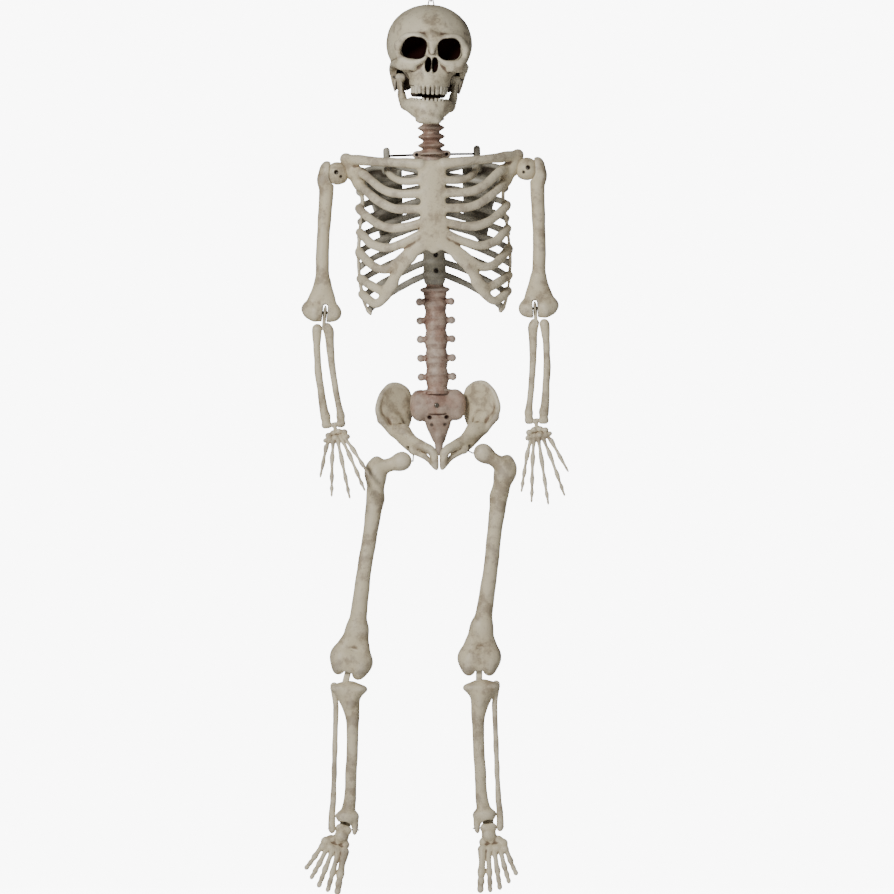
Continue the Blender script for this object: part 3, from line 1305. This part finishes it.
@dataclass
class Limbs:
    """Arms and legs, bone by bone, each in a frame whose origin is its upper joint."""

    palette: Palette
    shells: dict[str, Shell] = field(default_factory=dict)
    hand_turn: dict[Side, tuple[float, float]] = field(
        default_factory=lambda: {Side.LEFT: (-8.6, 0.0), Side.RIGHT: (-12.0, -24.0)})
    foot_roll: dict[Side, float] = field(default_factory=lambda: {Side.LEFT: -4.0, Side.RIGHT: 17.0})
    foot_droop: float = 58.0

    def lay(self, bone: str, side: Side, place: Matrix, body: str, nodes: Iterable[str]) -> None:
        """Put one side's copy of a bone in its place.

        Args:
            bone: Which bone.
            side: Which side.
            place: Its frame.
            body: The body that it moves with.
            nodes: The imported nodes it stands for, without the side.
        """
        shell = self.shells[bone]
        half = shell if side is Side.LEFT else shell.mirrored()
        put(f"{side.word}_{bone}", half.moved(place), f"{side.word}_{body}", self.palette.bone,
            [f"{side.word}_{node}" for node in nodes])

    def shoulder_ball(self) -> Shell:
        """Flat-sided ball on the shoulder's bolt, with the slot for the arm's tongue."""
        clay = Clay((-19, -22, -22), (22, 22, 22), 1.0)
        clay.add(Egg((0, 0, 0), (20.5, 20.5, 20.5)), blend=1)
        clay.carve(Slab((-30, 0, 0), (12.7, 30, 30), edge=0.5), blend=2)
        clay.carve(Slab((10.5, 0, 0), (19.5, 4, 30), edge=0.5), blend=1.5, paint=0.6)
        clay.carve(Egg((2, -20, 2), (3.2, 4, 3.2)), Egg((-6, -19.5, -6), (2, 2.4, 2)), blend=1.5, paint=0.9)
        return clay.skin()

    def humerus(self, length: float = 240.0) -> Shell:
        """Upper arm with its head beside the shoulder's ball and a forked elbow."""
        clay = Clay((-26, -26, -length - 22), (38, 26, 26), 1.4)
        clay.add(Egg((19, 0, -2), (13.5, 18, 22)), Egg((24, -4, -14), (8.5, 12, 12)), blend=6)
        clay.add(bar([(18, 0, -12, 13.5), (16, 0, -44, 12.4), (15, -1, -90, 11.4), (14, -3, -130, 11.4),
                      (10, -2, -178, 12), (8, -1, -205, 13), (7, 0, -222, 14)]), blend=8)
        clay.add(bar([(12, 0, -190, 9), (20, 0, -214, 9.5), (26, 0, -length, 12)]), blend=9)
        clay.add(bar([(4, 0, -190, 8), (-6, 0, -214, 9), (-12, 0, -length, 11)]), blend=9)
        clay.add(Chain([(-13, 0, -length, 15.5), (-8, 0, -length, 16.5), (8, 0, -length, 16.5),
                        (22, 0, -length, 15.5),
                        (30, 0, -length + 4, 11)]), blend=6)
        clay.add(Egg((17, -2, -length - 1), (12, 17.5, 17)), blend=5)
        clay.carve(Egg((7, -20, -length + 20), (9, 7, 8)), Egg((7, 20, -length + 20), (11, 7, 10)), blend=6)
        clay.carve(Egg((0, 0, 0), (21.3, 21.3, 21.3)), blend=1)
        clay.carve(Slab((0, 0, -length - 7), (4, 40, 20.5), edge=3), blend=1.5, paint=0.85)
        clay.add(Slab((10, 0, 0), (11, 3.2, 8), edge=2), Chain([(0, -0.6, 0, 3), (14, -0.6, 0, 6)]), blend=2)
        clay.roughen(0.5, 30)
        return clay.skin()

    def ulna(self, length: float = 194.0) -> Shell:
        """Inner forearm bone with a knuckle on the wrist's pin."""
        clay = Clay((-22, -16, -length - 8), (10, 16, -14), 1.1)
        clay.add(bar([(-1, 0, -26, 8), (-4, 1, -34, 9), (-4, 3, -50, 7.5), (-4, 3, -80, 6.4),
                      (-6, 2, -120, 5.6),
                      (-10, 1, -160, 5.6), (-12, 0, -length + 14, 7)]), blend=4)
        clay.add(bar([(-12, 0, -length + 14, 7), (-12, 0, -length + 3, 7)]),
                 Chain([(-13.5, 0, -length, 5.6), (-8.5, 0, -length, 5.6)]), blend=3)
        clay.roughen(0.4, 22)
        return clay.skin()

    def elbow_tongue(self) -> Shell:
        """Disc and strap on top of the inner forearm bone, square to the elbow's pin."""
        clay = Clay((-6, -15, -36), (6, 15, 15), 0.9)
        clay.add(Egg((0, 0, 0), (3.4, 12, 12)), Slab((0, 0, -15), (3.2, 7.5, 16), edge=1.5), blend=2)
        return clay.skin()

    def knee_tongue(self) -> Shell:
        """Disc and strap on top of the shin bone, square to the knee's pin."""
        clay = Clay((-9, -18, -50), (9, 18, 18), 1.1)
        clay.add(Egg((0, 0, 0), (6, 15, 15)), Slab((0, 0, -22), (5.6, 10, 23), edge=3), blend=3)
        return clay.skin()

    def radius(self, length: float = 194.0) -> Shell:
        """Outer forearm bone with its flat top and the wide wrist end."""
        clay = Clay((0, -16, -length - 8), (34, 16, -16), 1.1)
        clay.add(bar([(16, 0, -27, 8.6), (17, 0, -34, 8), (18, -1, -46, 6)]), blend=2)
        clay.add(bar([(17, 0, -30, 7), (19, -2, -60, 6), (20, -3, -100, 6.6), (18, -2, -140, 6.6),
                      (15, 0, -length + 14, 8)]), blend=4)
        clay.add(bar([(14, 0, -length + 16, 8), (14, 0, -length + 4, 8)]),
                 Chain([(10, 0, -length, 5.7), (16.5, 0, -length, 5.7)]), blend=3)
        clay.carve(Slab((0, 0, -90), (4.4, 30, 200), edge=0.4), blend=0.5)
        clay.roughen(0.4, 22)
        return clay.skin()

    def hand(self) -> Shell:
        """Hand with pebbled wrist bones, palm bones and jointed fingers."""
        clay = Clay((-56, -26, -152), (52, 12, 6), 1.05)
        clay.add(Chain([(-2.4, 0, 0, 4.6), (2.4, 0, 0, 4.6)]), Chain([(0, 0, -4, 3.3), (0, 0, -14, 3.3)]),
                 blend=2)
        for index, (x, z, size) in enumerate(((-14, -18, 6), (-5, -15, 6.2), (5, -15, 6.2), (14, -18, 6),
                                              (-17, -27, 5.6),
                                              (-7, -26, 6), (3, -26, 6.2), (13, -27, 6), (20, -25, 5))):
            clay.add(Egg((x, -1 + (index % 3), z), (size, size, size * 0.85)), blend=1.6)
        for spread, reach in ((24, 106), (12.5, 140), (0, 147), (-11.5, 142), (-20, 126)):
            self.digit(clay, spread, reach)
        clay.roughen(0.3, 12)
        return clay.skin()

    def digit(self, clay: Clay, spread: float, reach: float) -> None:
        """Add one finger, or the thumb when it is short and wide-set.

        Args:
            clay: The hand's clay.
            spread: How far it leans outward, in degrees.
            reach: Its length from the wrist.
        """
        angle = math.radians(spread)
        way = Vector((math.sin(angle), 0, -math.cos(angle)))
        across = Vector((spread * 0.62, 0, 0))
        start = Vector((0, 0, -12)) + way * 12
        shares = (0.40, 0.72, 0.98) if reach < 110 else (0.46, 0.72, 0.88, 0.985)
        last, thick = start + across * 0.5, 4.5
        for number, share in enumerate(shares):
            curl = -9 * share * share
            point = way * (reach * share) + Vector((0, curl, 0)) + across * (1 - share) * 0.5
            gap = point - last
            waist = thick * 0.7
            rows = [(*last, thick), (*(last + gap * 0.12), thick * 1.02), (*(last + gap * 0.4), waist),
                    (*(last + gap * 0.68), waist), (*(last + gap * 0.92), thick * 0.98)]
            if number == len(shares) - 1:
                rows = [(*last, thick), (*(last + gap * 0.5), waist * 0.9), (*(last + gap * 0.8), waist),
                        (*point, waist * 0.6)]
            clay.add(bar(rows), blend=1.2)
            last, thick = point, thick * 0.9

    def femur(self, length: float = 357.0) -> Shell:
        """Thigh bone: ball, neck, both trochanters, leaning shaft and forked knuckles."""
        clay = Clay((-38, -28, -length - 32), (64, 28, 20), 1.7)
        clay.add(Egg((0, 0, 0), (16.8, 16.8, 16.8)), blend=1)
        clay.add(bar([(8, 0, -5, 13), (20, 0, -12, 11.6), (34, 1, -22, 14), (38, 1, -36, 17)]), blend=7)
        clay.add(Egg((44, 4, -26), (15, 14, 19)), Egg((42, 8, -12), (10, 10, 10)), blend=6)
        clay.add(bar([(38, 1, -34, 16), (32, 1, -62, 15.5), (27, -1, -92, 14.2), (21, -4, -150, 12.8),
                      (15, -5, -215, 13), (8, -4, -265, 14.2), (3, -2, -300, 17)]), blend=9)
        clay.add(bar([(30, 8, -60, 8), (23, 9, -72, 9.5), (22, 7, -84, 7)]), blend=8)
        clay.add(bar([(4, -2, -300, 15), (11, -1, -322, 16), (17, 0, -342, 17)]),
                 bar([(2, -2, -300, 15), (-8, -1, -322, 16), (-15, 0, -342, 17)]), blend=12)
        clay.add(Egg((18, 0, -length - 3), (15.5, 23, 24)), Egg((-18, 0, -length - 3), (15.5, 23, 24)),
                 blend=8)
        clay.add(Chain([(-19, 0, -length + 5, 18), (19, 0, -length + 5, 18)]),
                 Egg((0, -15, -length), (20, 9, 20)), blend=8)
        clay.carve(Egg((0, -30, -length + 22), (12, 9, 12)), Egg((0, -31, -length - 14), (5, 8, 16)),
                   Egg((0, 28, -length + 10), (13, 10, 22)), blend=7)
        clay.carve(Slab((0, 12, -length - 11), (6.6, 29, 31), edge=3), blend=2, paint=0.4)
        clay.roughen(0.6, 36)
        return clay.skin()

    def tibia(self, length: float = 288.0) -> Shell:
        """Shin bone with its wide plateau and the ankle's fork."""
        clay = Clay((-38, -26, -length - 12), (42, 26, -30), 1.5)
        clay.add(Egg((-14, 0, -46), (17, 20, 9)), Egg((17, 0, -46), (17, 20, 9)),
                 Egg((1, 0, -50), (26, 19, 13)), blend=5)
        clay.add(bar([(1, 0, -54, 21), (-3, -1, -72, 16), (-7, -2, -95, 12), (-9, -1, -130, 10.4),
                      (-9, 0, -180, 10),
                      (-9, 0, -230, 10.4), (-7, 0, -255, 12.5), (-5, 0, -268, 16)]), blend=8)
        clay.add(Egg((-3, -14, -66), (7, 6, 12)), blend=7)
        clay.add(Egg((-5, 0, -length + 23), (21, 16, 10)), blend=6)
        clay.add(bar([(-18, 0, -length + 22, 9), (-19.5, 0, -length + 8, 8), (-19.5, 0, -length, 6.6),
                      (-19, 0, -length - 4, 5)], (1, 0, 0), 1.3), blend=5)
        clay.carve(Egg((0, 0, -length), (14.5, 30, 14.5)), blend=1.5, paint=0.35)
        clay.carve(bar([(27, 4, -42, 7.4), (25, 4, -60, 6.4), (22, 4, -80, 5.8)]), blend=1)
        clay.roughen(0.5, 30)
        return clay.skin()

    def fibula(self, length: float = 288.0) -> Shell:
        """Thin outer bone of the shin, with a knob at each end."""
        clay = Clay((10, -10, -length - 10), (38, 16, -32), 1.2)
        clay.add(bar([(27, 4, -42, 6.6), (25, 4, -56, 5.8), (22, 4, -80, 5), (21, 4, -140, 4.8),
                      (20, 4, -200, 4.8),
                      (20, 3, -240, 5.2), (21, 2, -length + 16, 6.2), (20, 0, -length, 6.2),
                      (20, 0, -length - 3, 4)]),
                 blend=1)
        clay.roughen(0.4, 20)
        return clay.skin()

    def foot(self) -> Shell:
        """Foot that hangs toes down, with its ankle block, heel, instep bones and toes."""
        clay = Clay((-40, -78, -130), (52, 26, 14), 1.25)
        droop = Matrix.Rotation(math.radians(self.foot_droop), 3, "X")

        def at(x: float, y: float, z: float, radius: float) -> Station:
            """Place of the level foot, turned with the droop."""
            return (*(droop @ Vector((x, y, z))), radius)

        clay.add(Chain([(-6, 0, 0, 8.5), (6, 0, 0, 8.5)]), Egg((0, -2, -13), (12.5, 12.5, 13)), blend=3)
        clay.add(Chain([(0, 0, -9, 9), at(0, 24, -18, 9.6), at(0, 44, -20, 11.5)]), blend=5)
        turn = (self.foot_droop, 0, 0)
        for x, y, size in ((-12, -22, 9), (0, -20, 9.5), (12, -20, 9.5), (20, -26, 9), (-15, -36, 9),
                           (-3, -36, 8.5),
                           (9, -36, 8.5), (22, -38, 8)):
            clay.add(Egg(at(x + 3, y, -12, 0)[:3], (size, size, size * 0.85), turn), blend=3)
        for spread, reach, radius in ((-19, 119, 7.4), (-4, 121, 5.6), (11, 117, 5.4), (25, 106, 5.2),
                                      (37, 90, 5.2)):
            self.toe(clay, at, spread, reach, radius)
        clay.roughen(0.4, 16)
        return clay.skin()

    @staticmethod
    def toe(clay: Clay, at: Callable[..., Station], spread: float, reach: float, radius: float) -> None:
        """Add one long instep bone and its toe."""
        def place(share: float, lift: float, size: float) -> Station:
            """Point along the toe."""
            return at(spread * (0.45 + 0.7 * share), -reach * share, -12 - lift, size)

        clay.add(bar([place(0.30, 0, radius + 1), place(0.36, 1, radius + 0.4), place(0.46, 2, radius * 0.8),
                      place(0.57, 3, radius * 0.8), place(0.64, 4, radius * 1.02)]), blend=1.6)
        clay.add(bar([place(0.67, 4, radius), place(0.74, 4, radius * 0.72),
                      place(0.80, 3, radius * 0.85)]), blend=1.2)
        clay.add(bar([place(0.83, 3, radius * 0.85), place(0.90, 1, radius * 0.68),
                      place(0.96, 0, radius * 0.8),
                      place(0.985, 0, radius * 0.6)]), blend=1.2)

    def build(self) -> None:
        """Model every bone once, and put both sides in place."""
        for bone in ("shoulder_ball", "humerus", "elbow_tongue", "ulna", "radius", "hand", "femur",
                     "knee_tongue",
                     "tibia", "fibula", "foot"):
            self.shells[bone] = getattr(self, bone)()
        for side in Side:
            self.arm(side)
            self.leg(side)

    def arm(self, side: Side) -> None:
        """Put one arm's bones in place."""
        word = side.word
        shoulder, elbow = joint_at(f"{word}_shoulder_swing"), joint_at(f"{word}_elbow_bend")
        wrist = joint_at(f"{word}_wrist_swing")
        roll, pitch = (math.radians(angle) for angle in self.hand_turn[side])
        self.lay("shoulder_ball", side, place_at(shoulder, math.radians(REST.trunk_roll)), "shoulder",
                 ["shoulder_disc"])
        self.lay("humerus", side, place_at(shoulder, roll_between(shoulder, elbow)), "upper_arm", ["humerus"])
        fore = place_at(elbow, roll_between(elbow, wrist))
        self.lay("elbow_tongue", side, place_at(elbow, roll_between(shoulder, elbow)), "forearm", ())
        self.lay("ulna", side, fore, "forearm", ["ulna"])
        self.lay("radius", side, fore, "forearm", ["radius"])
        self.lay("hand", side, place_at(wrist, roll, pitch), "hand", ["hand"])

    def leg(self, side: Side) -> None:
        """Put one leg's bones in place."""
        word = side.word
        hip, knee = joint_at(f"{word}_hip_swing"), joint_at(f"{word}_knee_bend")
        ankle = joint_at(f"{word}_ankle_bend")
        self.lay("femur", side, place_at(hip, roll_between(hip, knee)), "thigh", ["femur"])
        lower = place_at(knee, roll_between(knee, ankle))
        self.lay("knee_tongue", side, place_at(knee, roll_between(hip, knee)), "shin", ())
        self.lay("tibia", side, lower, "shin", ["tibia"])
        self.lay("fibula", side, lower, "shin", ["fibula"])
        self.lay("foot", side, place_at(ankle, math.radians(self.foot_roll[side])), "foot", ["foot"])


# ---------------------------------------------------------------------------------------------
# Hardware, studio and camera
# ---------------------------------------------------------------------------------------------

def finish_hardware(palette: Palette) -> None:
    """Give the pins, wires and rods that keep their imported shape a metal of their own."""
    finishes = {"steel_pin": palette.steel, "bronze_wire": palette.bronze, "dark_rod": palette.rod,
                "bone": palette.bone, "skull_bone": palette.skull, "stained_bone": palette.stained}
    for part in frame["record"]["subparts"]:
        mesh = frame["nodes"][part["node"]].data
        mesh.materials.clear()
        mesh.materials.append(finishes[part["material_slot"]])


@dataclass(frozen=True)
class Studio:
    """Camera square to the front with a long lens, soft lights and a plain pale floor."""

    centre: tuple[float, float] = (0.0275, -0.7786)
    field: float = 1.5378
    distance: float = 30.0
    floor_drop: float = 0.004
    floor_corners: tuple[tuple[float, float], tuple[float, float]] = ((-3.0, -4.0), (3.0, 0.6))
    soft_light: float = 0.10
    white: float = 9.0

    def build(self) -> None:
        """Add the camera, the lights and the floor."""
        data = bpy.data.cameras.new("view")
        data.sensor_width = data.sensor_height = 36.0
        data.lens = 36.0 * self.distance / self.field
        camera = bpy.data.objects.new("view", data)
        camera.location = (self.centre[0], -self.distance, self.centre[1])
        camera.rotation_euler = (math.radians(90), 0, 0)
        bpy.context.scene.collection.objects.link(camera)
        bpy.context.scene.camera = camera
        for name, place, size, power in (("key", (-2.3, -4.0, 1.3), 1.1, 205),
                                         ("fill", (2.4, -3.6, -0.6), 1.8, 20),
                                         ("low", (0.0, -3.2, -1.6), 1.4, 8)):
            self.light(name, Vector(place), size, power)
        bpy.context.scene.world = self.backdrop()
        self.floor()

    def backdrop(self) -> bpy.types.World:
        """Make a world that looks bright white behind the figure and lights it softly."""
        world = bpy.data.worlds.new("studio")
        world.use_nodes = True
        tree = Tree(world.node_tree)
        seen = tree.add("ShaderNodeLightPath").outputs["Is Camera Ray"]
        strength = tree.add("ShaderNodeMapRange", {"Value": seen, "To Min": self.soft_light,
                                                   "To Max": self.white})
        world.node_tree.links.new(strength.outputs[0], world.node_tree.nodes["Background"].inputs["Strength"])
        world.node_tree.nodes["Background"].inputs["Color"].default_value = (1, 1, 1, 1)
        return world

    def light(self, name: str, place: Vector, size: float, power: float) -> None:
        """Add one square light that faces the middle of the figure."""
        data = bpy.data.lights.new(name, "AREA")
        data.size, data.energy = size, power
        lamp = bpy.data.objects.new(name, data)
        lamp.location = place
        lamp.rotation_euler = (Vector((0, 0, -0.75)) - place).to_track_quat("-Z", "Y").to_euler()
        bpy.context.scene.collection.objects.link(lamp)

    def floor(self) -> None:
        """Add the plain floor under the toes."""
        mesh = bpy.data.meshes.new("floor")
        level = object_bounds()[0][2] - self.floor_drop
        (left, front), (right, back) = self.floor_corners
        corners = ((left, front), (right, front), (right, back), (left, back))
        mesh.from_pydata([(x, y, level) for x, y in corners], [], [(0, 1, 2, 3)])
        material = bpy.data.materials.new("floor")
        material.use_nodes = True
        tree = Tree(material.node_tree)
        seen = tree.add("ShaderNodeLightPath").outputs["Is Camera Ray"]
        shader = material.node_tree.nodes["Principled BSDF"]
        shader.inputs["Base Color"].default_value = (0.9, 0.9, 0.9, 1)
        shader.inputs["Emission Color"].default_value = (1, 1, 1, 1)
        tree.tree.links.new(tree.maths("MULTIPLY", seen, self.white), shader.inputs["Emission Strength"])
        mesh.materials.append(material)
        floor = bpy.data.objects.new("floor", mesh)
        bpy.context.scene.collection.objects.link(floor)
        floor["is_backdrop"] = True


def main() -> None:
    """Build the figure and the studio."""
    logging.basicConfig(level=logging.INFO, format="%(name)s: %(message)s")
    palette = Palette()
    finish_hardware(palette)
    screws = pan_screws()
    Head(palette, arch_of_teeth()).build()
    Chest(palette, bellows(), screws).build()
    LowerTrunk(palette, screws).build()
    Limbs(palette).build()
    Studio().build()


if __name__ == "__main__":
    main()
